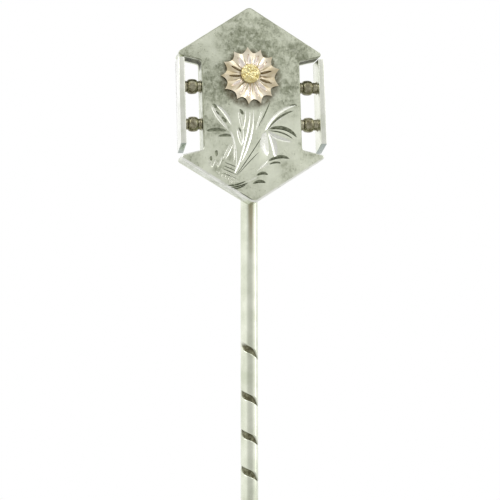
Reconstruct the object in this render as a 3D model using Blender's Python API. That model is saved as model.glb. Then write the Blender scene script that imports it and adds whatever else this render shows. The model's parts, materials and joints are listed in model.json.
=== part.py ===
"""Silver stick pin: notched hexagon box head, applied flower, beaded side bars, spiral-cut stem.

Metres, +Z up, front of the head faces -Y, +X is the viewer's right.
The origin is on the stem axis, level with the lowest corner of the head.
"""
import math

import bpy
import bmesh
from mathutils import Matrix

MM = 0.001

# ---- fit -------------------------------------------------------------------
SEAM = 0.010 * MM            # clearance left at every soldered or threaded fit

# ---- stem ------------------------------------------------------------------
STEM_RADIUS = 0.60 * MM
STEM_BELOW_HEAD = 49.5 * MM  # lowest corner of the head to the point
STEM_BEHIND_HEAD = 8.2 * MM  # length soldered up the back of the head
STEM_TOP_CHAMFER = 0.15 * MM
POINT_LENGTH = 7.0 * MM      # taper at the lower end
POINT_RADIUS = 0.03 * MM
SPIRAL_FIRST = 10.03 * MM    # first front crossing of the cut, below the head
SPIRAL_PITCH = 2.25 * MM     # pitch the cut settles to
SPIRAL_EASE = 1.70 * MM      # extra length used up by the opening turns
SPIRAL_EASE_RATIO = 0.40
SPIRAL_TURNS = 6.4           # turns after the first front crossing
SPIRAL_RUN_IN = 0.30         # turns before it, where the cut deepens from nothing
SPIRAL_WIDTH = 0.48 * MM     # measured square across the cut
SPIRAL_DEPTH = 0.13 * MM

# ---- head box --------------------------------------------------------------
HEAD_HEIGHT = 13.70 * MM
GABLE_RISE = 0.10 * MM       # the upper point is this much taller than the lower one
WING_DROP = 3.27 * MM        # lower point to wing corner, measured up
WING_SLOPE = 0.43 * MM       # how much lower a notch corner is than its wing corner
WING_OVERHANG = 0.15 * MM    # unrounded wing corner past the outside of a bar
COLUMN_HALF = 3.43 * MM
BOX_DEPTH = 1.65 * MM
PLATE = 0.30 * MM
STRIP = 0.26 * MM            # thickness of the bent edge strips
SEAT_DEPTH = 0.14 * MM       # how far the stem sinks into the back plate
TIP_ROUND = 0.18 * MM
APEX_ROUND = 0.42 * MM
NOTCH_ROUND = 0.22 * MM
EDGE_BREAK = 0.05 * MM       # broken edge round the front plate
HEAD_LEAN = math.radians(1.6)    # the head is soldered on leaning to the left; 0 stands it straight

# ---- side bars, rods, beads ------------------------------------------------
BAR_THICK = 0.41 * MM
BAR_SHIFT = 0.09 * MM        # both bars sit this much to the right on their rods
BAR_GAP_LOW = 0.30 * MM      # clear of the lower wing, at the inner face of a bar
BAR_GAP_HIGH = 0.10 * MM     # clear of the upper wing
BAR_BEVEL_RISE = 0.40 * MM   # the lower end slants up towards the front
BAR_EDGE = 0.035 * MM
ROD_RADIUS = 0.175 * MM
ROD_SPREAD = 1.31 * MM       # each rod above or below the middle of a bar
ROD_SOCKET = 0.20 * MM       # depth of the blind hole in each bar
BEAD_RADIUS = 0.525 * MM
BEAD_SHOULDER = 0.40 * MM
BEAD_LENGTH = 0.68 * MM
NECK_LENGTH = 0.295 * MM     # a collar with its seams, each side of the bead
COLLAR_RADIUS = 0.405 * MM
COLLAR_FOOT = 0.46 * MM
COLLAR_FOOT_LENGTH = 0.09 * MM

# ---- flower ----------------------------------------------------------------
FLOWER_X = -0.08 * MM
FLOWER_BELOW_APEX = 4.92 * MM
PETALS = 13
PETAL_TIP = 2.06 * MM
PETAL_VALLEY = 1.68 * MM
PETAL_TURN = math.radians(6.0)   # first tip leans to the left of straight up
PETAL_SHEET = 0.20 * MM
PETAL_RIM = 0.14 * MM
PETAL_LIFT = 0.11 * MM           # gap under the petal tips
CUT_DEPTH = 0.06 * MM            # radial cuts down the middle of the petals
CUT_REACH = 1.45 * MM
BOSS_RADIUS = 0.69 * MM
BOSS_WALL = 0.10 * MM
BOSS_DOME = 0.24 * MM
BOSS_LEFT, BOSS_UP = 0.04 * MM, 0.14 * MM       # soldered high and slightly to the left
BOSS_LEDGE = 0.15 * MM           # flat of the rosette left showing round the boss

# ---- derived ---------------------------------------------------------------
NOTCH_TOP = WING_DROP + WING_SLOPE        # lower point to notch corner, measured up
BODY_HEIGHT = HEAD_HEIGHT - GABLE_RISE    # the head without the taller gable
BAR_INNER = COLUMN_HALF + 2 * NECK_LENGTH + BEAD_LENGTH
HEAD_HALF_WIDTH = BAR_INNER + BAR_THICK + WING_OVERHANG
WING_AT_BAR = NOTCH_TOP - WING_SLOPE * (BAR_INNER - COLUMN_HALF) / (HEAD_HALF_WIDTH - COLUMN_HALF)
BAR_LOW = WING_AT_BAR + BAR_GAP_LOW
BAR_HIGH = BODY_HEIGHT - WING_AT_BAR - BAR_GAP_HIGH
FLOWER_Z = HEAD_HEIGHT - FLOWER_BELOW_APEX
FLOWER_SEAT = BOSS_RADIUS + BOSS_LEDGE
BOSS_X = FLOWER_X - BOSS_LEFT
BOSS_Z = FLOWER_Z + BOSS_UP
BACK_Y = -STEM_RADIUS + SEAT_DEPTH        # rear face of the back plate
FRONT_Y = BACK_Y - BOX_DEPTH              # front face of the front plate
MID_Y = (BACK_Y + FRONT_Y) / 2
ROD_Z = (BAR_LOW + BAR_HIGH) / 2
BORE_RADIUS = ROD_RADIUS + 1.2 * SEAM
ROUND = 24                                # sides of every small turned piece


# ---- scene and material helpers ---------------------------------------------
def clear_scene():
    for obj in list(bpy.data.objects):
        bpy.data.objects.remove(obj, do_unlink=True)


def metal(name, rgb, rough):
    mat = bpy.data.materials.new(name)
    mat.use_nodes = True
    shader = mat.node_tree.nodes["Principled BSDF"]
    shader.inputs["Base Color"].default_value = (*rgb, 1.0)
    shader.inputs["Metallic"].default_value = 1.0
    shader.inputs["Roughness"].default_value = rough
    mat.diffuse_color = (*rgb, 1.0)
    return mat


def make(name, verts, faces, mat, smooth=None):
    mesh = bpy.data.meshes.new(name)
    mesh.from_pydata(verts, [], faces)
    bm = bmesh.new()
    bm.from_mesh(mesh)
    bmesh.ops.remove_doubles(bm, verts=bm.verts, dist=1e-7)
    bmesh.ops.recalc_face_normals(bm, faces=bm.faces)
    bm.to_mesh(mesh)
    bm.free()
    obj = bpy.data.objects.new(name, mesh)
    bpy.context.scene.collection.objects.link(obj)
    mesh.materials.append(mat)
    if smooth is not None:
        shade(obj, smooth)
    return obj


def shade(obj, angle):
    mesh = obj.data
    for poly in mesh.polygons:
        poly.use_smooth = True
    bm = bmesh.new()
    bm.from_mesh(mesh)
    for edge in bm.edges:
        edge.smooth = len(edge.link_faces) == 2 and edge.calc_face_angle(0.0) < angle
    bm.to_mesh(mesh)
    bm.free()


def cut(target, verts, faces):
    """Take one closed body out of the target."""
    tool = make(target.name + "_tool", verts, faces, target.data.materials[0])
    tool.hide_render = True
    tool.display_type = "WIRE"
    mod = target.modifiers.new("cut", "BOOLEAN")
    mod.operation = "DIFFERENCE"
    mod.solver = "EXACT"
    mod.object = tool
    deps = bpy.context.evaluated_depsgraph_get()
    mesh = bpy.data.meshes.new_from_object(target.evaluated_get(deps))
    target.modifiers.remove(mod)
    old = target.data
    target.data = mesh
    bpy.data.meshes.remove(old)
    bpy.data.objects.remove(tool, do_unlink=True)
    mesh.name = target.name


# ---- flat outlines -----------------------------------------------------------
def arcs_of(corners, radii, steps=3):
    """One short list of points per rounded corner of a closed outline in (x, z)."""
    out = []
    count = len(corners)
    for i in range(count):
        px, pz = corners[i]
        ax, az = corners[i - 1]
        bx, bz = corners[(i + 1) % count]
        ua, ub = math.hypot(ax - px, az - pz), math.hypot(bx - px, bz - pz)
        da, db = ((ax - px) / ua, (az - pz) / ua), ((bx - px) / ub, (bz - pz) / ub)
        half = math.acos(max(-1.0, min(1.0, da[0] * db[0] + da[1] * db[1]))) / 2
        reach = radii[i] / math.tan(half)
        bis = (da[0] + db[0], da[1] + db[1])
        length = math.hypot(*bis)
        far = radii[i] / math.sin(half)
        cx, cz = px + bis[0] / length * far, pz + bis[1] / length * far
        start = math.atan2(pz + da[1] * reach - cz, px + da[0] * reach - cx)
        end = math.atan2(pz + db[1] * reach - cz, px + db[0] * reach - cx)
        sweep = (end - start + math.pi) % (2 * math.pi) - math.pi
        pts = []
        for k in range(2 * steps + 1):
            a = start + sweep * k / (2 * steps)
            pts.append((cx + radii[i] * math.cos(a), cz + radii[i] * math.sin(a)))
        out.append(pts)
    return out


def inset(points, amount):
    """Move every point of a counter-clockwise outline inwards by the same distance."""
    out = []
    count = len(points)
    for i in range(count):
        px, pz = points[i]
        ax, az = points[i - 1]
        bx, bz = points[(i + 1) % count]
        ua, ub = math.hypot(px - ax, pz - az), math.hypot(bx - px, bz - pz)
        na, nb = (-(pz - az) / ua, (px - ax) / ua), (-(bz - pz) / ub, (bx - px) / ub)
        mid = (na[0] + nb[0], na[1] + nb[1])
        scale = amount / max(1e-9, (mid[0] * na[0] + mid[1] * na[1]))
        out.append((px + mid[0] * scale, pz + mid[1] * scale))
    return out


def loft(sections):
    """Close a stack of matching outlines; each section is (y, [(x, z), ...])."""
    verts, faces = [], []
    count = len(sections[0][1])
    for y, pts in sections:
        verts += [(x, y, z) for x, z in pts]
    for s in range(len(sections) - 1):
        a, b = s * count, (s + 1) * count
        for i in range(count):
            j = (i + 1) % count
            faces.append((a + i, a + j, b + j, b + i))
    faces.append(tuple(range(count)))
    faces.append(tuple(range((len(sections) - 1) * count, len(sections) * count)))
    return verts, faces


def head_corners():
    top = BODY_HEIGHT
    right = [
        (0.0, 0.0),
        (HEAD_HALF_WIDTH, WING_DROP),
        (COLUMN_HALF, NOTCH_TOP),
        (COLUMN_HALF, top - NOTCH_TOP),
        (HEAD_HALF_WIDTH, top - WING_DROP),
        (0.0, HEAD_HEIGHT),
    ]
    return right + [(-x, z) for x, z in reversed(right[1:5])]


CORNERS = head_corners()
ROUNDS = [APEX_ROUND, TIP_ROUND, NOTCH_ROUND, NOTCH_ROUND, TIP_ROUND,
          APEX_ROUND, TIP_ROUND, NOTCH_ROUND, NOTCH_ROUND, TIP_ROUND]
ARCS = arcs_of(CORNERS, ROUNDS)
OUTLINE = [p for arc in ARCS for p in arc]
INNER = inset(CORNERS, STRIP)


def strip_outline(first, last):
    """Outline of a bent edge strip that runs from one corner of the head to another."""
    count = len(ARCS)
    order = []
    i = first
    while True:
        order.append(i)
        if i == last:
            break
        i = (i + 1) % count
    mid = len(ARCS[0]) // 2
    outer = list(ARCS[first][mid:])
    for i in order[1:-1]:
        outer += ARCS[i]
    outer += ARCS[last][:mid + 1]
    inner = [INNER[i] for i in reversed(order)]

    def nudge(a, b, towards):
        """Slide the end cut a-b half a seam into the strip."""
        dx, dz = b[0] - a[0], b[1] - a[1]
        length = math.hypot(dx, dz)
        nx, nz = -dz / length * SEAM / 2, dx / length * SEAM / 2
        if (towards[0] - a[0]) * nx + (towards[1] - a[1]) * nz < 0:
            nx, nz = -nx, -nz
        return (a[0] + nx, a[1] + nz), (b[0] + nx, b[1] + nz)

    outer[0], inner[-1] = nudge(outer[0], inner[-1], inner[-2])
    outer[-1], inner[0] = nudge(outer[-1], inner[0], inner[1])
    return outer + inner


# ---- round bodies ---------------------------------------------------------------
def ring(profile, segments, axis_y, axis_z):
    """Turn a closed profile [(x, r), ...] about a line parallel to X."""
    verts, faces = [], []
    rows = len(profile)
    for k in range(segments):
        a = 2 * math.pi * k / segments
        for x, r in profile:
            verts.append((x, axis_y + r * math.cos(a), axis_z + r * math.sin(a)))
    for k in range(segments):
        n = (k + 1) % segments
        for i in range(rows):
            j = (i + 1) % rows
            faces.append((k * rows + i, k * rows + j, n * rows + j, n * rows + i))
    return verts, faces


def rod(x0, x1, radius, segments, axis_y, axis_z):
    verts, faces = [], []
    for k in range(segments):
        a = 2 * math.pi * k / segments
        for x in (x0, x1):
            verts.append((x, axis_y + radius * math.cos(a), axis_z + radius * math.sin(a)))
    for k in range(segments):
        n = (k + 1) % segments
        faces.append((2 * k, 2 * k + 1, 2 * n + 1, 2 * n))
    faces.append(tuple(2 * k for k in range(segments)))
    faces.append(tuple(2 * k + 1 for k in range(segments)))
    return verts, faces


def stack(rows):
    """Skin a list of equal rings of points, closing both ends with a fan."""
    verts, faces = [], []
    count = len(rows[0])
    for row in rows:
        verts += row
    for s in range(len(rows) - 1):
        a, b = s * count, (s + 1) * count
        for i in range(count):
            j = (i + 1) % count
            faces.append((a + i, a + j, b + j, b + i))
    for row, base in ((rows[0], 0), (rows[-1], (len(rows) - 1) * count)):
        centre = tuple(sum(p[k] for p in row) / count for k in range(3))
        verts.append(centre)
        for i in range(count):
            faces.append((base + i, base + (i + 1) % count, len(verts) - 1))
    return verts, faces


# ---- stem -----------------------------------------------------------------------
def spiral_z(turn):
    eased = SPIRAL_EASE * (1 - SPIRAL_EASE_RATIO ** turn)
    return -SPIRAL_FIRST - SPIRAL_PITCH * turn - eased


def spiral_pitch(turn):
    return abs(spiral_z(turn + 0.5) - spiral_z(turn - 0.5))


def stem_rows():
    """Rings of points down the stem; the columns follow the cut so it stays crisp."""
    groove = [-1.0, -0.82, -0.5, 0.0, 0.5, 0.82, 1.0]
    dip = [0.0, 0.72, 1.0, 1.0, 1.0, 0.72, 0.0]
    plain = 15
    start, end = -SPIRAL_RUN_IN, SPIRAL_TURNS

    def row(z, turn, radius, depth):
        pitch = spiral_pitch(turn)
        slope = math.atan2(pitch, 2 * math.pi * STEM_RADIUS)
        half = math.pi * SPIRAL_WIDTH / (math.cos(slope) * pitch)
        centre = -math.pi / 2 + 2 * math.pi * turn
        pts = []
        for g, d in zip(groove, dip):
            r = radius - depth * d
            a = centre + g * half
            pts.append((r * math.cos(a), r * math.sin(a), z))
        for k in range(1, plain + 1):
            a = centre + half + (2 * math.pi - 2 * half) * k / (plain + 1)
            pts.append((radius * math.cos(a), radius * math.sin(a), z))
        return pts

    rows = [row(STEM_BEHIND_HEAD, start, STEM_RADIUS - STEM_TOP_CHAMFER, 0.0),
            row(STEM_BEHIND_HEAD - STEM_TOP_CHAMFER, start, STEM_RADIUS, 0.0)]
    per_turn = 16
    count = int(round((end - start) * per_turn))
    for k in range(count + 1):
        turn = start + (end - start) * k / count
        fade_in = min(1.0, (turn - start) / 0.22)
        fade_out = min(1.0, (end - turn) / 0.22)
        rows.append(row(spiral_z(turn), turn, STEM_RADIUS, SPIRAL_DEPTH * min(fade_in, fade_out)))
    tip = -STEM_BELOW_HEAD
    for k in range(7):
        s = k / 6
        radius = POINT_RADIUS + (STEM_RADIUS - POINT_RADIUS) * (1 - s ** 1.5)
        rows.append(row(tip + POINT_LENGTH * (1 - s), end, radius, 0.0))
    return rows


# ---- flower ----------------------------------------------------------------------
def petal_rows():
    """Rings of points over the back, round the rim and over the front of the rosette."""
    per = 6
    count = PETALS * per

    def edge(k):
        """Outer radius at one point of the rim, and how near it is to a valley (0 to 1)."""
        along = (k / per) % 1.0
        valley = 2 * min(along, 1 - along)
        bite = (1 - (1 - valley) ** 2) ** 0.85
        return PETAL_TIP - (PETAL_TIP - PETAL_VALLEY) * bite, valley

    def point(k, fraction, front):
        rim, valley = edge(k)
        r = FLOWER_SEAT * (1 + fraction) if fraction <= 0 else FLOWER_SEAT + (rim - FLOWER_SEAT) * fraction
        out = max(0.0, fraction)
        y = FRONT_Y - SEAM - PETAL_LIFT * out * out
        if front:
            y -= PETAL_SHEET + (PETAL_RIM - PETAL_SHEET) * out
            reach = (r - FLOWER_SEAT) / (CUT_REACH - FLOWER_SEAT)
            if 0.0 < reach < 1.0 and valley < 0.5:
                y += CUT_DEPTH * math.sin(math.pi * reach) * (1 - 2 * valley)
        a = math.pi / 2 + PETAL_TURN + 2 * math.pi * k / count
        return FLOWER_X + r * math.cos(a), y, FLOWER_Z + r * math.sin(a)

    steps = [-0.5, 0.0, 0.25, 0.5, 0.75, 1.0]
    rows = [[point(k, f, False) for k in range(count)] for f in steps]
    rows += [[point(k, f, True) for k in range(count)] for f in reversed(steps)]
    return rows


def boss_rows():
    count = 28
    foot = FRONT_Y - SEAM - PETAL_SHEET - SEAM
    rows = []
    shape = [(0.5, 0.0), (1.0, 0.0), (1.0, BOSS_WALL)]
    for k in range(1, 5):
        a = math.pi / 2 * k / 4.5
        shape.append((math.cos(a), BOSS_WALL + BOSS_DOME * math.sin(a)))
    for fraction, rise in shape:
        ring_pts = []
        for k in range(count):
            a = 2 * math.pi * k / count
            ring_pts.append((BOSS_X + BOSS_RADIUS * fraction * math.cos(a), foot - rise,
                             BOSS_Z + BOSS_RADIUS * fraction * math.sin(a)))
        rows.append(ring_pts)
    return rows


# ---- build -------------------------------------------------------------------------
def build():
    clear_scene()
    brushed = metal("head silver", (0.52, 0.54, 0.44), 0.42)
    bright = metal("bright silver", (0.74, 0.76, 0.68), 0.22)
    oxidised = metal("oxidised silver", (0.12, 0.11, 0.075), 0.40)
    rose = metal("rose gold", (0.78, 0.58, 0.44), 0.28)
    yellow = metal("yellow gold", (0.80, 0.66, 0.26), 0.32)
    crisp = math.radians(35)

    # front and back sheets of the box
    verts, faces = loft([
        (FRONT_Y, inset(OUTLINE, EDGE_BREAK)),
        (FRONT_Y + EDGE_BREAK, OUTLINE),
        (FRONT_Y + PLATE, OUTLINE),
    ])
    make("front_plate", verts, faces, brushed)
    verts, faces = loft([(BACK_Y - PLATE, OUTLINE), (BACK_Y, OUTLINE)])
    back = make("back_plate", verts, faces, brushed)

    # bent edge strips between the sheets
    near, far = FRONT_Y + PLATE + SEAM, BACK_Y - PLATE - SEAM
    for name, first, last in (("rim_upper", 4, 6), ("rim_lower", 9, 1),
                              ("notch_wall_right", 1, 4), ("notch_wall_left", 6, 9)):
        outline = strip_outline(first, last)
        verts, faces = loft([(near, outline), (far, outline)])
        strip = make(name, verts, faces, brushed)
        if name.startswith("notch_wall"):
            side = 1 if name.endswith("right") else -1
            for z in (ROD_Z - ROD_SPREAD, ROD_Z + ROD_SPREAD):
                ends = sorted((side * (COLUMN_HALF - 2 * STRIP), side * (COLUMN_HALF + STRIP)))
                cut(strip, *rod(ends[0], ends[1], BORE_RADIUS, ROUND, MID_Y, z))

    # side bars, each with a slanted lower end and two blind sockets
    for name, side in (("side_bar_left", -1), ("side_bar_right", 1)):
        inner = BAR_INNER + side * BAR_SHIFT
        shape = [(FRONT_Y, BAR_LOW + BAR_BEVEL_RISE), (BACK_Y, BAR_LOW),
                 (BACK_Y, BAR_HIGH), (FRONT_Y, BAR_HIGH)]
        verts = [(side * x, y, z) for x in (inner, inner + BAR_THICK) for y, z in shape]
        faces = [(0, 1, 2, 3), (4, 5, 6, 7)] + [(i, (i + 1) % 4, (i + 1) % 4 + 4, i + 4)
                                               for i in range(4)]
        bar = make(name, verts, faces, bright)
        bm = bmesh.new()
        bm.from_mesh(bar.data)
        bmesh.ops.bevel(bm, geom=list(bm.edges), offset=BAR_EDGE, segments=1, affect="EDGES")
        bm.to_mesh(bar.data)
        bm.free()
        for z in (ROD_Z - ROD_SPREAD, ROD_Z + ROD_SPREAD):
            ends = sorted((side * (inner - STRIP), side * (inner + ROD_SOCKET)))
            cut(bar, *rod(ends[0], ends[1], BORE_RADIUS, ROUND, MID_Y, z))

    # rods through the box, with bead and collars threaded on each end
    for level, z in (("upper", ROD_Z + ROD_SPREAD), ("lower", ROD_Z - ROD_SPREAD)):
        reach = BAR_INNER + ROD_SOCKET - SEAM
        verts, faces = rod(BAR_SHIFT - reach, BAR_SHIFT + reach, ROD_RADIUS, ROUND, MID_Y, z)
        make("cross_rod_" + level, verts, faces, oxidised, crisp)
        for hand, side in (("left", -1), ("right", 1)):
            inner = BAR_INNER + side * BAR_SHIFT
            middle = (COLUMN_HALF + inner) / 2
            half = BEAD_LENGTH / 2
            bulge = BEAD_RADIUS - BEAD_SHOULDER
            profile = [(-half, BORE_RADIUS)]
            for k in range(9):
                a = math.pi * k / 8
                profile.append((-half * math.cos(a), BEAD_SHOULDER + bulge * math.sin(a)))
            profile.append((half, BORE_RADIUS))
            profile = [(side * (middle + x), r) for x, r in profile]
            verts, faces = ring(profile, ROUND, MID_Y, z)
            make("bead_%s_%s" % (level, hand), verts, faces, oxidised, crisp)
            for which in ("inner", "outer"):
                if which == "inner":
                    foot, neck, flare = COLUMN_HALF + SEAM, middle - half - SEAM, 1
                else:
                    foot, neck, flare = inner - SEAM, middle + half + SEAM, -1
                profile = [(foot, BORE_RADIUS), (foot, COLLAR_FOOT),
                           (foot + flare * COLLAR_FOOT_LENGTH, COLLAR_RADIUS),
                           (neck, COLLAR_RADIUS), (neck, BORE_RADIUS)]
                profile = [(side * x, r) for x, r in profile]
                verts, faces = ring(profile, ROUND, MID_Y, z)
                make("collar_%s_%s_%s" % (which, level, hand), verts, faces, oxidised, crisp)

    # applied flower
    make("flower_petals", *stack(petal_rows()), rose)
    make("flower_centre", *stack(boss_rows()), yellow, math.radians(50))

    # the finished head leans a little where it is soldered on, and the back plate seats the stem
    for obj in bpy.context.scene.objects:
        obj.data.transform(Matrix.Rotation(-HEAD_LEAN, 4, "Y"))
    seat = STEM_RADIUS + 1.2 * SEAM
    rows = []
    for z in (-STEM_RADIUS * 2, STEM_BEHIND_HEAD + SEAM):
        rows.append([(seat * math.cos(2 * math.pi * k / 64), seat * math.sin(2 * math.pi * k / 64), z)
                     for k in range(64)])
    cut(back, *stack(rows))

    # stem
    make("pin_stem", *stack(stem_rows()), bright, crisp)


build()
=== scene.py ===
import functools
import json
import math
import random

import bmesh
import bpy
from mathutils import Matrix, Vector
from mathutils import noise as bpy_noise

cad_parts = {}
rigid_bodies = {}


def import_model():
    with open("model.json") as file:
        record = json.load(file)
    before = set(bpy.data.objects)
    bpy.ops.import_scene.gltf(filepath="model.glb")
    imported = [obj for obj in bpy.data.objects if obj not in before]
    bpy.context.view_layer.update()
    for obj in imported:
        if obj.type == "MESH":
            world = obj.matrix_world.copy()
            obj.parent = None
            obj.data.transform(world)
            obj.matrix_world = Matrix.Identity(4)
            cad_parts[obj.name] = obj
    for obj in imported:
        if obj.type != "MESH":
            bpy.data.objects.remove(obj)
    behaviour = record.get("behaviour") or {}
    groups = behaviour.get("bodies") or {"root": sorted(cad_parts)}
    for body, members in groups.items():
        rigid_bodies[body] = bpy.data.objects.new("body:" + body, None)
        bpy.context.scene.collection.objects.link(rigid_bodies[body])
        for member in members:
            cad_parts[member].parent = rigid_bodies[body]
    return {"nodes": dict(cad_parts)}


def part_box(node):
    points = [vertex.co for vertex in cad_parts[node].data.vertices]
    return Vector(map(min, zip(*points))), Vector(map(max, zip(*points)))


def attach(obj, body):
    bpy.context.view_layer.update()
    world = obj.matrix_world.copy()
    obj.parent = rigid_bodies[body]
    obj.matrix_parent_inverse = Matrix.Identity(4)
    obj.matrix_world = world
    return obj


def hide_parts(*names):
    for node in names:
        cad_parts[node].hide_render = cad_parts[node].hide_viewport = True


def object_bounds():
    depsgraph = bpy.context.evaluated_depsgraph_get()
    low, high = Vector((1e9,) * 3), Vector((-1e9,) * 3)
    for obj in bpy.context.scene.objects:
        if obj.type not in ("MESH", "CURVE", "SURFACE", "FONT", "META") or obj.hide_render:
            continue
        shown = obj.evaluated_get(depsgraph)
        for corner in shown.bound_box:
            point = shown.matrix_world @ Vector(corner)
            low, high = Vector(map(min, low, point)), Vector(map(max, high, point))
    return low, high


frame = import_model()
cad_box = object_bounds()
nodes = frame["nodes"]
MM = 0.001


# ---- the view ----
# The pin stands upright and is seen from close in front, a little from its left and from
# below the head, with the lower part of the stem out of the picture.
VIEW_AZIMUTH, VIEW_ELEVATION, VIEW_ROLL = (math.radians(a) for a in (-11.2, -6.0, -0.08))
VIEW_DISTANCE = 95.93 * MM
VIEW_TARGET = Vector((-0.177, -1.2, -3.115)) * MM
LENS_MM = 100.8


def put(name, data):
    """A new object in the scene."""
    made = bpy.data.objects.new(name, data)
    bpy.context.scene.collection.objects.link(made)
    return made


def place_camera():
    back = Vector((math.sin(VIEW_AZIMUTH) * math.cos(VIEW_ELEVATION),
                   -math.cos(VIEW_AZIMUTH) * math.cos(VIEW_ELEVATION), math.sin(VIEW_ELEVATION)))
    right = (-back).cross(Vector((0, 0, 1))).normalized()
    up = right.cross(-back)
    level_right = right * math.cos(VIEW_ROLL) + up * math.sin(VIEW_ROLL)
    level_up = up * math.cos(VIEW_ROLL) - right * math.sin(VIEW_ROLL)
    camera = put("camera", bpy.data.cameras.new("camera"))
    camera.data.lens, camera.data.clip_start, camera.data.clip_end = LENS_MM, 1 * MM, 10.0
    turn = Matrix((level_right, level_up, back)).transposed().to_4x4()
    camera.matrix_world = Matrix.Translation(VIEW_TARGET + back * VIEW_DISTANCE) @ turn
    bpy.context.scene.camera = camera


place_camera()
bpy.context.scene.view_settings.view_transform = "Standard"


# ---- nodes ----
# Short names for the nodes that the light, the metals and the shapes are made with. Those that
# work on a value find their tree from the socket that they are given.
def add(tree, kind, inputs=None, **settings):
    """Add one node; settings are its properties, inputs its values or the sockets that feed it."""
    node = tree.nodes.new(kind)
    for key, value in settings.items():
        setattr(node, key, value)
    for key, value in (inputs or {}).items():
        if isinstance(value, bpy.types.NodeSocket):
            tree.links.new(value, node.inputs[key])
        else:
            node.inputs[key].default_value = value
    return node


def arithmetic(kind, operation, values):
    """One node that works on numbered values, in the tree of the first socket among them."""
    tree = next(value.id_data for value in values if isinstance(value, bpy.types.NodeSocket))
    return add(tree, kind, dict(enumerate(values)), operation=operation)


def maths(operation, *values):
    """One step of arithmetic with numbers."""
    return arithmetic("ShaderNodeMath", operation, values).outputs[0]


def product(*values):
    """All the numbers multiplied together."""
    return functools.reduce(lambda so_far, value: maths("MULTIPLY", so_far, value), values)


def less(first, second):
    """The first number less the second."""
    return maths("SUBTRACT", first, second)


def vectors(operation, *values):
    """One step of arithmetic with vectors."""
    number = operation in ("DISTANCE", "LENGTH", "DOT_PRODUCT")
    return arithmetic("ShaderNodeVectorMath", operation, values).outputs["Value" if number else "Vector"]


def axis(place, name):
    """One coordinate of a place."""
    return add(place.id_data, "ShaderNodeSeparateXYZ", {0: place}).outputs[name]


def stored(place, name):
    """A number that the mesh keeps at each of its points."""
    return add(place.id_data, "ShaderNodeAttribute", attribute_name=name).outputs["Fac"]


def noise(place, grain_mm, detail=3.0, rough=0.55, stretch=None):
    """Noise whose blotches are about grain_mm across; stretch scales the pattern's axes."""
    tree = place.id_data
    if stretch:
        place = add(tree, "ShaderNodeMapping", {0: place, "Scale": stretch}).outputs[0]
    return add(tree, "ShaderNodeTexNoise", {0: place, "Scale": 1.0 / (grain_mm * MM), "Detail": detail,
                                            "Roughness": rough}).outputs["Fac"]


def spread(value, low, high, out_low=0.0, out_high=1.0, kind="LINEAR"):
    """Map a value from one range to another, held at both ends."""
    return add(value.id_data, "ShaderNodeMapRange", {0: value, 1: low, 2: high, 3: out_low, 4: out_high},
               interpolation_type=kind).outputs[0]


def between(factor, first, second):
    """Mix two numbers."""
    return add(factor.id_data, "ShaderNodeMix", {0: factor, 2: first, 3: second}).outputs[0]


def linear(code):
    """Linear colour of an sRGB hex value."""
    parts = [int(code[i:i + 2], 16) / 255 for i in (1, 3, 5)]
    return tuple(p / 12.92 if p <= 0.04045 else ((p + 0.055) / 1.055) ** 2.4 for p in parts) + (1.0,)


def blend(factor, first, second):
    """Mix two colours, each a hex value or a socket."""
    first, second = (linear(c) if isinstance(c, str) else c for c in (first, second))
    return add(factor.id_data, "ShaderNodeMix", {0: factor, 6: first, 7: second},
               data_type="RGBA").outputs[2]


def new_metal(name, colour, roughness):
    """A metallic material, and the place on the piece for its patterns to follow."""
    material = bpy.data.materials.new(name)
    material.use_nodes = True
    tree = material.node_tree
    sockets = tree.nodes["Principled BSDF"].inputs
    sockets["Base Color"].default_value = linear(colour)
    sockets["Metallic"].default_value = 1.0
    sockets["Roughness"].default_value = roughness
    return material, add(tree, "ShaderNodeTexCoord").outputs["Object"]


def feed(material, colour=None, roughness=None, bump=None, metallic=None):
    """Feed the metal's shader; bump is a height, its strength and its depth in millimetres."""
    tree = material.node_tree
    sockets = tree.nodes["Principled BSDF"].inputs
    for key, value in (("Base Color", colour), ("Roughness", roughness), ("Metallic", metallic)):
        if value is not None:
            tree.links.new(value, sockets[key])
    if bump:
        height, strength, depth = bump
        node = add(tree, "ShaderNodeBump", {"Height": height, "Strength": strength, "Distance": depth * MM})
        tree.links.new(node.outputs[0], sockets["Normal"])
    return material


def node_group(name, inputs):
    """A Geometry Nodes tree with the given inputs, and what comes in through them."""
    tree = bpy.data.node_groups.new(name, "GeometryNodeTree")
    for label, kind in inputs:
        tree.interface.new_socket(label, in_out="INPUT", socket_type="NodeSocket" + kind)
    tree.interface.new_socket("Geometry", in_out="OUTPUT", socket_type="NodeSocketGeometry")
    return tree, add(tree, "NodeGroupInput").outputs


def give_out(tree, geometry, material):
    """Make a group's copies real, give them the material and hand them out."""
    real = add(tree, "GeometryNodeRealizeInstances", {0: geometry})
    done = add(tree, "GeometryNodeSetMaterial", {"Geometry": real.outputs[0], "Material": material})
    add(tree, "NodeGroupOutput", {0: done.outputs[0]})


# ---- the studio ----
# A small light tent: white cloth all round, above and below, open and dimmer towards the
# lens, which is what gives polished silver its pale sides and grey middle.
TENT_WHITE, TENT_FRONT, TENT_BELOW = 1.02, 0.61, 0.70
WHITE = (1.0, 1.0, 1.0, 1.0)


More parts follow.
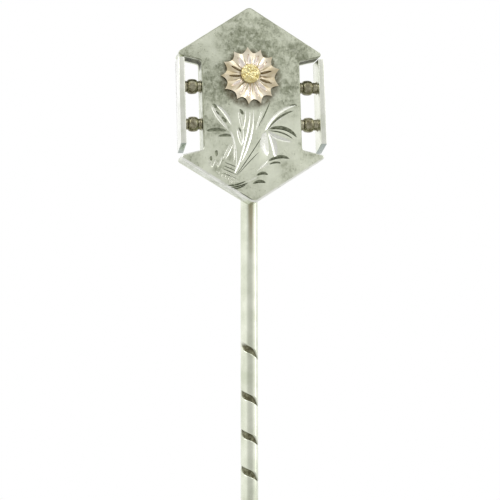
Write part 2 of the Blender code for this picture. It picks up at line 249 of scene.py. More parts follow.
def hang_tent():
    world = bpy.data.worlds.new("light tent")
    world.use_nodes = True
    tree = world.node_tree
    tree.nodes.clear()
    way = add(tree, "ShaderNodeTexCoord").outputs["Generated"]
    front = spread(axis(way, "Y"), -0.55, -1.0, kind="SMOOTHSTEP")
    above = spread(axis(way, "Z"), -0.75, 0.05, kind="SMOOTHSTEP")
    level = between(above, TENT_BELOW, between(front, TENT_WHITE, TENT_FRONT))
    seen = add(tree, "ShaderNodeLightPath").outputs["Is Camera Ray"]
    shader = add(tree, "ShaderNodeBackground", {"Color": WHITE, "Strength": between(seen, level, 1.0)})
    add(tree, "ShaderNodeOutputWorld", {0: shader.outputs[0]})
    bpy.context.scene.world = world


def hang_panel(name, place_mm, aim_mm, width_mm, height_mm, radiance):
    """A soft panel light whose surface has the given brightness, where the tent is about 1."""
    data = bpy.data.lights.new(name, "AREA")
    data.shape, data.size, data.size_y = "RECTANGLE", width_mm * MM, height_mm * MM
    data.energy = radiance * math.pi * data.size * data.size_y
    place, aim = Vector(place_mm) * MM, Vector(aim_mm) * MM
    panel = put(name, data)
    panel.location = place
    panel.rotation_euler = (aim - place).to_track_quat("-Z", "Y").to_euler()


hang_tent()
hang_panel("panel_upper_left", (-70, -60, 70), (0, 0, 4), 60, 60, 2.2)
hang_panel("panel_upper_right", (75, -60, 60), (0, 0, 4), 50, 50, 1.2)
hang_panel("panel_right", (110, -20, 20), (0, 0, 0), 40, 90, 0.8)

FLOOR_RADIUS, FLOOR_SIDES = 900.0, 96
FLOOR_CLEAR = 0.05                      # the point hangs just above the floor
FLOOR_NEAR, FLOOR_FAR = 30.0, 150.0     # the paper fades into white between these distances


def lay_floor():
    """A wide pale floor that fades into the white of the tent."""
    low = cad_box[0][2] / MM - FLOOR_CLEAR
    turns = [2 * math.pi * k / FLOOR_SIDES for k in range(FLOOR_SIDES)]
    mesh = bpy.data.meshes.new("floor")
    mesh.from_pydata([(FLOOR_RADIUS * math.cos(a) * MM, FLOOR_RADIUS * math.sin(a) * MM, low * MM)
                      for a in turns], [], [tuple(range(FLOOR_SIDES))])
    floor = put("floor", mesh)
    paper = bpy.data.materials.new("white paper floor")
    paper.use_nodes = True
    tree = paper.node_tree
    tree.nodes.clear()
    place = add(tree, "ShaderNodeTexCoord").outputs["Object"]
    reach = vectors("LENGTH", vectors("MULTIPLY", place, (1.0, 1.0, 0.0)))
    far = spread(reach, FLOOR_NEAR * MM, FLOOR_FAR * MM, kind="SMOOTHSTEP")
    matt = add(tree, "ShaderNodeBsdfDiffuse", {"Color": linear("#EDEDEA")})
    glow = add(tree, "ShaderNodeEmission", {"Color": WHITE, "Strength": 1.0})
    both = add(tree, "ShaderNodeMixShader", {0: far, 1: matt.outputs[0], 2: glow.outputs[0]})
    add(tree, "ShaderNodeOutputMaterial", {0: both.outputs[0]})
    mesh.materials.append(paper)
    floor.visible_glossy = False
    floor.visible_diffuse = False


lay_floor()


# ---- front plate ----
# A flat sheet of silver sawn to a long hexagon with a notch in each side, its edges rounded
# over and worn bright, then engraved by hand: every stroke is a V cut that a graver left,
# thin where the tool goes in and comes out. Old tarnish dulls the sheet between the cuts.
plate_low, plate_high = (Vector(c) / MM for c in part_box("front_plate"))
front_y, inner_y = plate_low.y, plate_high.y
HEAD_TOP, BODY_TOP = 13.70, 13.60
WING_CORNER = (5.26, 3.27)
NOTCH_CORNER = (3.43, 3.70)
APEX_ROUND, TIP_ROUND, NOTCH_ROUND = 0.42, 0.18, 0.22
EDGE_ROUND, EDGE_ROUND_BELOW = 0.07, 0.12      # the lower V has been rubbed rounder
CORNER_STEPS, EDGE_STEPS = 10, 6
EDGE_LEVEL = 3.7                               # and its rounding starts to grow at this height
HEAD_LEAN = Matrix.Rotation(math.radians(-1.6), 4, "Y")      # the head stands this askew on its stem
LEAN_SLOPE = math.tan(math.radians(1.6))


def held(value):
    return max(0.0, min(1.0, value))


def rounded_outline(corners, radii, steps):
    """A closed counter-clockwise outline in (x, z) with an arc at every corner."""
    out = []
    count = len(corners)
    for i, (corner, radius) in enumerate(zip(corners, radii)):
        here = Vector(corner)
        before = (Vector(corners[i - 1]) - here).normalized()
        after = (Vector(corners[(i + 1) % count]) - here).normalized()
        half = before.angle(after) / 2
        centre = here + (before + after).normalized() * (radius / math.sin(half))
        start = here + before * (radius / math.tan(half)) - centre
        end = here + after * (radius / math.tan(half)) - centre
        sweep = math.atan2(start.x * end.y - start.y * end.x, start.dot(end))
        for k in range(steps + 1):
            out.append(centre + Matrix.Rotation(sweep * k / steps, 2) @ start)
    return out


def moved_in(outline, amounts):
    """The outline shrunk by a distance given for each of its points."""
    out = []
    count = len(outline)
    for i, here in enumerate(outline):
        before = (here - outline[i - 1]).normalized()
        after = (outline[(i + 1) % count] - here).normalized()
        side = Vector((-before.y - after.y, before.x + after.x))
        out.append(here + side * (amounts[i] / (1 + before.dot(after))))
    return out


def head_outline(steps):
    corners = [(0.0, 0.0), WING_CORNER, NOTCH_CORNER,
               (NOTCH_CORNER[0], BODY_TOP - NOTCH_CORNER[1]), (WING_CORNER[0], BODY_TOP - WING_CORNER[1]),
               (0.0, HEAD_TOP)]
    corners += [(-x, z) for x, z in reversed(corners[1:5])]
    side = [TIP_ROUND, NOTCH_ROUND, NOTCH_ROUND, TIP_ROUND]
    return rounded_outline(corners, [APEX_ROUND] + side + [APEX_ROUND] + side, steps)


def skin(rows):
    """Faces over a stack of matching rings of points, closed at both ends."""
    count = len(rows[0])
    verts = [p for row in rows for p in row]
    faces = []
    for a in range(0, len(verts) - count, count):
        b = a + count
        faces += [(a + i, a + (i + 1) % count, b + (i + 1) % count, b + i) for i in range(count)]
    faces.append(tuple(reversed(range(count))))
    faces.append(tuple(range(len(verts) - count, len(verts))))
    return verts, faces


def edit_mesh(mesh, change):
    """Run a change on a mesh while it is open as a bmesh."""
    work = bmesh.new()
    work.from_mesh(mesh)
    change(work)
    work.to_mesh(mesh)
    work.free()


def piece(name, verts, faces, materials):
    """A mesh object in millimetres on the upright head, with its normals turned outwards."""
    def clean(work):
        bmesh.ops.remove_doubles(work, verts=work.verts, dist=1e-5)
        bmesh.ops.recalc_face_normals(work, faces=work.faces)

    mesh = bpy.data.meshes.new(name)
    mesh.from_pydata(verts, [], faces)
    edit_mesh(mesh, clean)
    for material in materials:
        mesh.materials.append(material)
    return put(name, mesh)


def settle(made, smooth_angle, lean=True):
    """Bring a finished piece from millimetres to metres, leaning with the head, and shade it."""
    made.data.transform((HEAD_LEAN if lean else Matrix()) @ Matrix.Scale(MM, 4))
    made.data.shade_smooth()
    made.data.set_sharp_from_angle(angle=math.radians(smooth_angle))


def upright_middle(node):
    """Middle of a CAD node on the upright head, in millimetres."""
    low, high = (Vector(c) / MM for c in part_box(node))
    return HEAD_LEAN.inverted() @ ((low + high) / 2)


# where the sheet is made darker: x, z, how far it reaches, how strong it is
DARKER_SPOTS = [(0.2, 10.7, 3.6, 1.0), (2.9, 9.9, 2.6, 0.85), (-2.7, 8.3, 2.7, 1.0),
                 (2.9, 7.9, 2.4, 0.75), (-4.4, 9.9, 1.1, 0.9), (-3.6, 10.6, 1.5, 0.4),
                 (-2.6, 5.9, 2.0, 0.75), (-2.3, 3.3, 1.9, 0.42), (-0.4, 4.6, 1.8, 0.35),
                 (-4.1, 3.2, 1.2, 0.75), (4.1, 3.6, 1.2, 0.65), (-0.6, 0.7, 1.5, 0.55),
                 (2.4, 2.2, 1.5, 0.35)]
FLOWER = Vector((-0.08, HEAD_TOP - 4.92))


def tarnished_silver():
    """Matt silver sheet, rubbed up and down with fine grit, then left to tarnish olive-grey.

    The eye sees soft cloudy patches and fine dark specks, most of them across the upper
    middle and down the flanks, and a painted brown shadow around the flower, deepest below
    it, over a satin sheen."""
    material, place = new_metal("tarnished matt silver", "#C6CAB4", 0.40)
    cloud = noise(place, 1.3)
    mottle = noise(place, 0.42, 4.0, 0.68)
    speck = noise(place, 0.17, 3.0, 0.7)
    streak = noise(place, 0.10, 2.0, 0.6, (1.0, 1.0, 0.22))

    def near(x, z, full, reach, strength):
        middle = HEAD_LEAN @ Vector((x, front_y, z)) * MM
        return spread(vectors("DISTANCE", place, middle), full * MM, reach * MM, strength, 0.0)

    # the sheet turns darker and more mottled round each of these spots
    darkening = None
    for x, z, reach, strength in DARKER_SPOTS:
        spot = near(x, z, 0.25 * reach, reach, strength)
        darkening = spot if darkening is None else maths("MAXIMUM", darkening, spot)
    patch = maths("MULTIPLY_ADD", darkening, 0.95, maths("MULTIPLY_ADD", cloud, 1.7, -0.80))
    patch = spread(patch, 0.0, 1.0)
    colour = blend(patch, "#ECF0DC", "#BCC1A9")
    dirt = maths("MULTIPLY_ADD", patch, 0.22, mottle)
    colour = blend(spread(dirt, 0.62, 0.88, 0.0, 0.75), colour, "#7E836B")
    grit = maths("MULTIPLY_ADD", patch, 0.20, speck)
    colour = blend(spread(grit, 0.65, 0.80, 0.0, 0.55), colour, "#646853")
    colour = blend(spread(mottle, 0.36, 0.48, 0.45, 0.0), colour, "#EEF1DF")
    colour = blend(spread(streak, 0.50, 0.75, 0.0, 0.30), colour, "#E9ECDB")
    # painted shadow: a brown ring on the sheet round the flower, set a little below it, for the shade under
    # the lifted petals
    flower_shadow = near(FLOWER.x + 0.05, FLOWER.y - 0.16, 1.90, 2.22, 0.85)
    colour = blend(product(flower_shadow, spread(mottle, 0.30, 0.60, 0.35, 1.0)), colour, "#655B45")
    return feed(material, colour, spread(speck, 0.35, 0.7, 0.34, 0.50),
                (maths("ADD", speck, streak), 0.6, 0.012))


def worn_silver():
    """The rounded edge of the sheet: rubbed bright along the lower V, duller higher up."""
    material, place = new_metal("worn silver edge", "#F2F5E6", 0.28)
    wear = noise(place, 0.5, 4.0)
    low = blend(spread(wear, 0.50, 0.80), "#FBFCF4", "#D3D8C3")
    high = blend(spread(wear, 0.38, 0.66), "#BFC3AE", "#969A84")
    level = spread(axis(place, "Z"), 3.0 * MM, 4.0 * MM)
    return feed(material, blend(level, low, high), spread(wear, 0.3, 0.7, 0.24, 0.40))


def cut_silver():
    """Fresh metal on the floor of a graver's cut: nearly white, with fine drag lines."""
    material, place = new_metal("bright cut silver", "#F8FAF0", 0.26)
    drag = noise(place, 0.06, 2.0)
    return feed(material, blend(spread(drag, 0.42, 0.66), "#FFFFF8", "#DDE1D0"),
                spread(drag, 0.35, 0.7, 0.20, 0.36))


def shadow_silver():
    """A cut painted dull dark grey-olive: tarnish settled in it, and painted shade for walls that face down
    to the dark below.
    """
    material, place = new_metal("tarnish and painted shade cut silver", "#8A8E7B", 0.36)
    return feed(material, blend(spread(noise(place, 0.14), 0.35, 0.7), "#9A9F8A", "#565A46"))


SHEET = tarnished_silver()
WORN = worn_silver()
BRIGHT_CUT = cut_silver()
DARK_CUT = shadow_silver()
SHEET_SLOTS = [SHEET, WORN, BRIGHT_CUT, DARK_CUT]
EDGE, BRIGHT, DARK = 1, 2, 3             # slots of the rounded edge and the two kinds of cut
STROKE_STEPS = 10
STROKE_RISE = 0.03                       # the cutter stands this far out of the face
STROKE_LEAST, SHALLOW = 0.004, 0.02      # its ends are this thin; a cut shallower than this has a plain edge
ROW_DRIFT = 0.02


def stroke_body(path, width, depth, lean=0.0):
    """The boat-shaped solid that one graver stroke takes out of the sheet.

    path is three points x, z of a smooth curve, one after another; lean moves the V's bottom to
    the left or right of the stroke."""
    p0, p1, p2 = (Vector(path[i:i + 2]) for i in (0, 2, 4))
    middle = p1 * 2 - (p0 + p2) / 2          # so that the curve passes through the middle point
    rows = []
    for k in range(STROKE_STEPS + 1):
        t = k / STROKE_STEPS
        here = p0 * (1 - t) ** 2 + middle * 2 * t * (1 - t) + p2 * t ** 2
        along = ((middle - p0) * (1 - t) + (p2 - middle) * t).normalized()
        side = Vector((along.y, -along.x))
        full = max(0.0, math.sin(math.pi * t)) ** 0.5
        half, deep = max(STROKE_LEAST, width / 2 * full), max(STROKE_LEAST, depth * full)
        wide = half * (1 + STROKE_RISE / deep) if deep > SHALLOW else half * 2.5
        rows.append([(here.x + side.x * out, front_y + y, here.y + side.y * out)
                     for out, y in ((-wide, -STROKE_RISE), (wide, -STROKE_RISE), (half * lean, deep))])
    return skin(rows)


# Each stroke is three points x, z of its path, then width, depth, lean and slot, in millimetres on the
# face of the sheet.
LEAVES = [
    # left leaf of two blades, and the stem that carries it
    (-2.84, 6.8, -2.44, 5.98, -1.64, 4.98, 0.24, 0.09, -0.3, BRIGHT),
    (-2.52, 6.78, -1.9, 6.2, -1.46, 5.35, 0.24, 0.06, 0.3, BRIGHT),
    (-2.76, 6.84, -2.6, 6.7, -2.46, 6.56, 0.24, 0.06, 0.0, DARK),
    (-2.56, 6.36, -2.42, 6.22, -2.3, 6.1, 0.16, 0.05, 0.0, DARK),
    (-2.16, 5.96, -1.98, 5.78, -1.8, 5.56, 0.22, 0.045, 0.3, DARK),
    (-1.66, 5.05, -1.36, 4.15, -1.42, 2.7, 0.2, 0.08, 0.2, BRIGHT),
    (-1.4, 4.6, -1.22, 3.4, -1.32, 2.15, 0.12, 0.052, 0.2, BRIGHT),
    # two narrow forks beside it
    (-0.95, 6.44, -0.86, 5.78, -0.72, 5.0, 0.2, 0.085, -0.3, BRIGHT),
    (-0.48, 6.44, -0.56, 5.78, -0.71, 5.0, 0.16, 0.075, 0.3, BRIGHT),
    (-0.88, 6.52, -0.74, 6.32, -0.62, 6.12, 0.21, 0.05, 0.4, DARK),
    (-1.08, 5.2, -0.96, 4.6, -0.79, 3.92, 0.24, 0.09, -0.3, BRIGHT),
    (-0.7, 5.24, -0.7, 4.62, -0.79, 3.98, 0.14, 0.057, 0.3, BRIGHT),
    (-0.98, 5.24, -0.9, 5.08, -0.84, 4.92, 0.13, 0.04, 0.4, DARK),
    # the pair of main stems that carry the flower
    (-0.21, 6.45, -0.38, 4.98, -1.24, 2.15, 0.15, 0.057, 0.3, BRIGHT),
    (0.06, 6.5, -0.18, 4.6, -1.02, 2.6, 0.18, 0.069, 0.3, BRIGHT),
    (-0.04, 5.6, -0.3, 4.2, -0.95, 2.75, 0.07, 0.03, 0.3, DARK),
    (-0.86, 3.3, -1.1, 2.66, -1.4, 1.95, 0.14, 0.057, 0.3, BRIGHT),
    # the fork on their right
    (0.72, 6.52, 0.45, 5.75, 0.22, 5.05, 0.14, 0.057, -0.3, BRIGHT),
    (1.28, 7.1, 0.86, 6.12, 0.35, 5.22, 0.09, 0.045, 0.4, DARK),
    (0.84, 6.06, 0.66, 5.72, 0.5, 5.45, 0.12, 0.057, -0.4, BRIGHT),
    # the long right leaf and its stem
    (-1.34, 1.8, -0.22, 3.36, 0.9, 5.02, 0.06, 0.035, 0.3, DARK),
    (0.82, 4.9, 1.72, 6.15, 3.14, 6.84, 0.23, 0.069, -0.5, BRIGHT),
    (2.55, 6.7, 2.9, 6.84, 3.18, 6.8, 0.09, 0.045, 0.2, DARK),
    (1.04, 5.08, 1.86, 5.96, 2.95, 6.46, 0.16, 0.045, 0.6, DARK),
    (1.02, 5.02, 1.66, 5.66, 2.4, 6.06, 0.11, 0.04, 0.6, BRIGHT),
    # the broad leaf under it
    (1.02, 5.12, 2.22, 5.2, 3.12, 4.54, 0.28, 0.09, 0.5, DARK),
    (1.06, 5.02, 2.06, 4.88, 2.84, 4.42, 0.11, 0.04, 0.5, DARK),
    (1.04, 5.0, 1.7, 4.6, 2.78, 4.28, 0.32, 0.057, 0.7, BRIGHT),
    # two hanging blades
    (0.88, 4.96, 0.74, 4.08, 1.0, 3.26, 0.59, 0.11, -0.3, BRIGHT),
    (1.08, 4.92, 1.46, 4.1, 1.5, 3.12, 0.42, 0.092, 0.3, BRIGHT),
    # two level leaves on the left
    (-3.22, 4.97, -2.54, 5.08, -1.82, 4.98, 0.27, 0.06, 0.2, DARK),
    (-2.44, 4.6, -1.9, 4.7, -1.44, 4.62, 0.21, 0.05, 0.2, DARK),
    # grass at the lower left
    (-3.12, 3.0, -3.02, 2.76, -2.9, 2.45, 0.15, 0.075, -0.2, BRIGHT),
    (-2.7, 3.06, -2.8, 2.76, -2.9, 2.45, 0.15, 0.075, 0.2, BRIGHT),
    (-2.76, 3.04, -2.62, 2.8, -2.48, 2.46, 0.15, 0.075, -0.2, BRIGHT),
    (-2.2, 3.22, -2.34, 2.88, -2.48, 2.48, 0.15, 0.075, 0.2, BRIGHT),
    (-2.54, 3.66, -2.57, 3.46, -2.56, 3.22, 0.22, 0.05, 0.3, DARK),
    (-2.92, 3.24, -2.96, 3.08, -2.92, 2.92, 0.18, 0.05, 0.3, DARK),
    (-1.54, 4.17, -1.84, 3.59, -2.14, 3.02, 0.15, 0.063, -0.3, BRIGHT),
    (-1.4, 4.09, -1.7, 3.54, -2.0, 2.97, 0.12, 0.057, 0.3, BRIGHT),
    # leaves near the right of the foot
    (0.98, 2.9, 1.8, 3.22, 2.52, 3.08, 0.25, 0.08, 0.4, DARK),
    (1.04, 2.68, 1.52, 2.83, 1.9, 2.75, 0.14, 0.05, 0.4, DARK),
    (0.22, 2.22, 0.64, 2.62, 1.07, 3.03, 0.12, 0.04, 0.3, BRIGHT),
    (0.36, 2.36, 0.76, 2.57, 1.16, 2.76, 0.14, 0.052, 0.3, BRIGHT),
    (0.16, 1.9, 0.59, 2.09, 0.98, 1.95, 0.21, 0.07, 0.4, DARK),
    (-0.55, 1.46, -0.12, 1.64, 0.26, 1.88, 0.09, 0.034, 0.3, BRIGHT),
    (-0.12, 1.34, 0.36, 1.52, 0.8, 1.4, 0.22, 0.075, 0.4, DARK),
    # roots that close the bunch at its foot
    (0.41, 3.55, -0.3, 2.86, -1.24, 1.85, 0.05, 0.03, 0.3, DARK),
    (-1.92, 1.24, -1.25, 1.29, -0.58, 1.55, 0.11, 0.05, 0.2, DARK),
    (-1.7, 1.08, -1.04, 1.2, -0.42, 1.42, 0.09, 0.05, 0.2, DARK),
    (-1.48, 0.97, -1.04, 1.08, -0.6, 1.28, 0.08, 0.045, 0.2, DARK),
    (-1.08, 0.78, -0.58, 0.49, -0.1, 0.19, 0.07, 0.03, 0.3, DARK),
]

# Rows of like cuts that shade the ground: the first cut's path, width, depth and slot, the count, the step.
ROWS = [
    (-2.05, 2.84, -1.56, 2.64, -1.06, 2.42, 0.05, 0.03, DARK, 4, (-0.06, -0.24)),
    (-2.02, 2.72, -1.54, 2.52, -1.04, 2.32, 0.06, 0.04, BRIGHT, 5, (-0.07, -0.23)),
    (-2.66, 2.24, -2.52, 2.14, -2.4, 2.02, 0.08, 0.05, BRIGHT, 6, (0.215, -0.165)),
    (-2.3, 2.42, -2.2, 2.32, -2.1, 2.18, 0.07, 0.045, BRIGHT, 5, (0.25, -0.19)),
    (-1.44, 2.1, -1.36, 1.98, -1.2, 1.92, 0.08, 0.05, BRIGHT, 3, (-0.14, -0.21)),
    (-2.36, 2.36, -2.38, 2.2, -2.46, 2.06, 0.05, 0.035, BRIGHT, 6, (0.2, -0.155)),
]


def row_tree():
    """Geometry Nodes that repeat one cutter along a straight row, with a little drift."""
    tree, given = node_group("row of cuts", (
        ("Cut", "Object"), ("Count", "Int"), ("Step", "Vector"), ("Drift", "Float"),
        ("Material", "Material")))
    line = add(tree, "GeometryNodeMeshLine", {"Count": given["Count"], "Offset": given["Step"]},
               mode="OFFSET")
    low, high = (add(tree, "ShaderNodeVectorMath", {0: (way, 0.0, way), "Scale": given["Drift"]},
                     operation="SCALE").outputs[0] for way in (-1.0, 1.0))
    drift = add(tree, "FunctionNodeRandomValue", {"Min": low, "Max": high, "Seed": 4},
                data_type="FLOAT_VECTOR")
    moved = add(tree, "GeometryNodeSetPosition", {"Geometry": line.outputs[0], "Offset": drift.outputs[0]})
    info = add(tree, "GeometryNodeObjectInfo", {"Object": given["Cut"]})
    copies = add(tree, "GeometryNodeInstanceOnPoints", {"Points": moved.outputs[0],
                                                        "Instance": info.outputs["Geometry"]})
    give_out(tree, copies.outputs[0], given["Material"])
    return tree


def keep_result(target, mod):
    """Turn what a modifier makes into the object's own plain mesh."""
    target.update_tag()
    graph = bpy.context.evaluated_depsgraph_get()
    made = bpy.data.meshes.new_from_object(target.evaluated_get(graph))
    target.modifiers.remove(mod)
    target.data = made


def run_nodes(target, tree, values):
    """Run a tree on an object with the given named inputs."""
    mod = target.modifiers.new("nodes", "NODES")
    mod.node_group = tree
    sockets = {s.name: s.identifier for s in tree.interface.items_tree if s.in_out == "INPUT"}
    for name, value in values.items():
        mod[sockets[name]] = value
    keep_result(target, mod)


def drop(thing):
    bpy.data.objects.remove(thing, do_unlink=True)


def engrave(target):
    """Take every stroke out of the sheet in one Boolean."""
    tools = bpy.data.collections.new("graver strokes")
    bpy.context.scene.collection.children.link(tools)
    rows = row_tree()

    def collect(tool):
        bpy.context.scene.collection.objects.unlink(tool)
        tools.objects.link(tool)

    def add_tool(name, body, slot):
        tool = piece(name, *body, SHEET_SLOTS)
        for face in tool.data.polygons:
            face.material_index = slot
        collect(tool)
        return tool

    for i, (*path, width, depth, lean, slot) in enumerate(LEAVES):
        add_tool("stroke_%02d" % i, stroke_body(path, width, depth, lean), slot)
    for i, (*path, width, depth, slot, count, step) in enumerate(ROWS):
        one = add_tool("row_cut_%d" % i, stroke_body(path, width, depth), slot)
        many = piece("row_%d" % i, [], [], SHEET_SLOTS)
        run_nodes(many, rows, {"Cut": one, "Count": count, "Step": (step[0], 0.0, step[1]),
                               "Drift": ROW_DRIFT, "Material": SHEET_SLOTS[slot]})
        collect(many)
        drop(one)
    mod = target.modifiers.new("engraving", "BOOLEAN")
    mod.operation, mod.solver, mod.operand_type = "DIFFERENCE", "EXACT", "COLLECTION"
    mod.collection = tools
    mod.material_mode = "TRANSFER"
    keep_result(target, mod)
    for tool in list(tools.objects):
        drop(tool)
    bpy.data.collections.remove(tools)


def make_front_plate():
    outline = head_outline(CORNER_STEPS)
    sizes = [EDGE_ROUND + (EDGE_ROUND_BELOW - EDGE_ROUND) * held(EDGE_LEVEL - p.y) for p in outline]
    rows = []
    for k in range(EDGE_STEPS + 1):
        a = math.pi / 2 * k / EDGE_STEPS
        inner = moved_in(outline, [size * (1 - math.sin(a)) for size in sizes])
        rows.append([(p.x, front_y + size * (1 - math.cos(a)), p.y) for p, size in zip(inner, sizes)])
    rows.append([(p.x, inner_y, p.y) for p in outline])
    plate = piece("engraved_front_plate", *skin(rows), SHEET_SLOTS)
    for face in plate.data.polygons:
        if abs(face.normal.y) < 0.999:
            face.material_index = EDGE
    engrave(plate)
    settle(plate, 24)
    return plate


front_plate = make_front_plate()
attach(front_plate, "root")
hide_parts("front_plate")


# ---- box walls and back plate ----
# The back sheet, the gable and V strips and the two bent notch walls are soldered to the
# front sheet to make the hollow head. Their plain flat shapes are right as built, so they
# only get the finish of old silver: bright where they are handled, dull on the back.
def wall_silver():
    """Rolled silver strip, satin, tarnished; under the upper wings it is painted dark as shade."""
    material, place = new_metal("satin silver strip", "#DDE2D0", 0.30)
    cloud = noise(place, 0.6, 4.0)
    grain = noise(place, 0.08, 2.0, 0.6, (1.0, 0.2, 1.0))
    colour = blend(spread(cloud, 0.38, 0.72), "#F1F4E8", "#B7BCA6")
    # painted shade: under the upper wings, inside the notches, the strip is made dark grey, rough and hardly
    # metallic
    level = vectors("DOT_PRODUCT", place, (-LEAN_SLOPE, 0.0, 1.0))
    under = spread(level, 9.25 * MM, 9.72 * MM)
    inside = spread(maths("ABSOLUTE", axis(place, "X")), 5.05 * MM, 4.70 * MM)
    crust = product(under, inside, spread(cloud, 0.30, 0.60, 1.0, 0.80))
    underwing_shade = blend(spread(noise(place, 0.28, 4.0, 0.65), 0.40, 0.62), "#52534A", "#8F917A")
    satin = spread(grain, 0.3, 0.7, 0.24, 0.40)
    return feed(material, blend(crust, colour, underwing_shade), between(crust, satin, 0.85), (grain, 0.4, 0.006),
                spread(crust, 0.2, 0.9, 1.0, 0.05))


def coat(node, material):
    """Give its finish to a CAD piece that is right as built."""
    nodes[node].data.materials.clear()
    nodes[node].data.materials.append(material)


STRIP_SILVER = wall_silver()
for node in ("rim_upper", "rim_lower", "notch_wall_left", "notch_wall_right"):
    coat(node, STRIP_SILVER)
coat("back_plate", SHEET)


# ---- side bars ----
# Two flat upright bars of polished silver, filed to shape, with softened edges, the outer side
# burnished, and the lower end cut on a slant, where a blue-grey film has stayed. Each hangs on
# the ends of the two rods.
BAR_THICK, BAR_LENGTH, BAR_SLANT = 0.41, 6.41, 0.40
BAR_SOFT = 0.045
BAR_FRONT, BAR_BACK = (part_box("side_bar_left")[i][1] / MM for i in (0, 1))
BAR_FALL = BAR_SLANT / (BAR_BACK - BAR_FRONT)
SLANT_LEVEL = upright_middle("side_bar_left").z - BAR_LENGTH / 2 + BAR_FALL * BAR_BACK


def polished_silver():
    """Hand-polished silver, gone faintly yellow, with fine rub marks along it."""
    material, place = new_metal("polished silver bar", "#F2F4E6", 0.30)
    rub = noise(place, 0.07, 2.0, 0.6, (1.0, 1.0, 0.08))
    colour = blend(spread(noise(place, 1.1), 0.38, 0.74), "#FAFBF0", "#E2E6D4")
    rise = vectors("DOT_PRODUCT", place, (-LEAN_SLOPE, BAR_FALL, 1.0))
    foot = spread(rise, (SLANT_LEVEL + 0.02) * MM, (SLANT_LEVEL + 0.06) * MM, 0.85, 0.0)
    crust = blend(spread(noise(place, 0.18), 0.4, 0.65), "#AAB6B2", "#C9D2CD")
    return feed(material, blend(foot, colour, crust), spread(rub, 0.3, 0.7, 0.24, 0.38), (rub, 0.3, 0.004))


def burnished_silver():
    """The outer side of a bar, rubbed almost to a mirror by fingers, with a thin grey film."""
    material, place = new_metal("burnished silver", "#FBFCF5", 0.14)
    rub = noise(place, 0.07, 2.0, 0.6, (1.0, 1.0, 0.08))
    return feed(material, blend(spread(noise(place, 0.8, 4.0), 0.40, 0.70), "#FFFFFA", "#DDE0D4"),
                spread(rub, 0.3, 0.7, 0.10, 0.20))


POLISHED, BURNISHED = polished_silver(), burnished_silver()


def make_side_bar(side_name):
    node = "side_bar_" + side_name
    centre = upright_middle(node)
    low, high = centre.z - BAR_LENGTH / 2, centre.z + BAR_LENGTH / 2
    profile = [(BAR_FRONT, low + BAR_SLANT), (BAR_BACK, low), (BAR_BACK, high), (BAR_FRONT, high)]
    rows = [[(centre.x + x, y, z) for y, z in profile] for x in (-BAR_THICK / 2, BAR_THICK / 2)]
    bar = piece(node + "_polished", *skin(rows), [POLISHED, BURNISHED])
    edit_mesh(bar.data, lambda work: bmesh.ops.bevel(work, geom=list(work.edges), offset=BAR_SOFT,
                                                     segments=4, affect="EDGES", profile=0.5))
    for face in bar.data.polygons:
        face.material_index = int(face.normal.x * centre.x > 0.5 * abs(centre.x))
    settle(bar, 40)
    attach(bar, "root")
    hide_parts(node)


for side_name in ("left", "right"):
    make_side_bar(side_name)


# ---- rods, beads and collars ----
# Drawn silver wires run through the box from bar to bar. On each end a bead sits between two
# plain collars. All of it is oxidised nearly black, rubbed back to metal on the high spots.
def oxidised_silver():
    """Silver blackened with sulphur, gone brown, and rubbed back to grey metal on the high spots."""
    material, place = new_metal("oxidised silver", "#8C8570", 0.26)
    crust = noise(place, 0.26, 3.0, 0.6)
    fleck = noise(place, 0.10, 3.0, 0.6)
    colour = blend(spread(crust, 0.36, 0.66), "#6E684F", "#B0AD94")
    colour = blend(spread(fleck, 0.54, 0.76, 0.0, 0.5), colour, "#CFCDBB")
    return feed(material, colour, spread(crust, 0.3, 0.7, 0.34, 0.20), (crust, 0.4, 0.014))


OXIDISED = oxidised_silver()
BEAD_RADIUS, BEAD_LENGTH, BEAD_SHOULDER = 0.525, 0.68, 0.37
COLLAR_FOOT, COLLAR_NECK, COLLAR_BORE = 0.46, 0.385, 0.19
COLLAR_FLARE, COLLAR_CHAMFER = 0.13, (0.03, 0.02)
SEAM = 0.01
TURNED_SIDES, BEAD_STEPS, FLARE_STEPS = 48, 16, 6


def turned(name, profile, centre):
    """Turn a closed profile of (x, radius) points about a line that runs left to right."""
    verts, faces = [], []
    count = len(profile)
    for k in range(TURNED_SIDES):
        a = 2 * math.pi * k / TURNED_SIDES
        verts += [(x, centre.y + r * math.cos(a), centre.z + r * math.sin(a)) for x, r in profile]
        n = (k + 1) % TURNED_SIDES
        faces += [(k * count + i, k * count + (i + 1) % count,
                   n * count + (i + 1) % count, n * count + i) for i in range(count)]
    return piece(name, verts, faces, [OXIDISED])


def thread_on(made, node):
    settle(made, 40)
    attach(made, "root")
    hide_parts(node)


def make_bead(node):
    centre = upright_middle(node)
    half, bulge = BEAD_LENGTH / 2, BEAD_RADIUS - BEAD_SHOULDER
    profile = [(centre.x - half, COLLAR_BORE)]
    for k in range(BEAD_STEPS + 1):
        a = math.pi * k / BEAD_STEPS
        profile.append((centre.x - half * math.cos(a), BEAD_SHOULDER + bulge * math.sin(a) ** 0.8))
    profile.append((centre.x + half, COLLAR_BORE))
    thread_on(turned(node + "_turned", profile, centre), node)


def make_collar(node, bead_middle):
    """A plain collar; its foot, away from the bead, flares into a hollow fillet of solder."""
    centre = upright_middle(node)
    away = 1 if centre.x > bead_middle.x else -1
    neck = bead_middle.x + away * (BEAD_LENGTH / 2 + SEAM)
    foot = 2 * centre.x - neck
    profile = [(foot, COLLAR_BORE), (foot, COLLAR_FOOT)]
    for k in range(1, FLARE_STEPS + 1):
        a = math.pi / 2 * k / FLARE_STEPS
        profile.append((foot - away * COLLAR_FLARE * (1 - math.cos(a)),
                        COLLAR_FOOT - (COLLAR_FOOT - COLLAR_NECK) * math.sin(a)))
    profile += [(neck + away * COLLAR_CHAMFER[0], COLLAR_NECK), (neck, COLLAR_NECK - COLLAR_CHAMFER[1]),
                (neck, COLLAR_BORE)]
    thread_on(turned(node + "_turned", profile, centre), node)


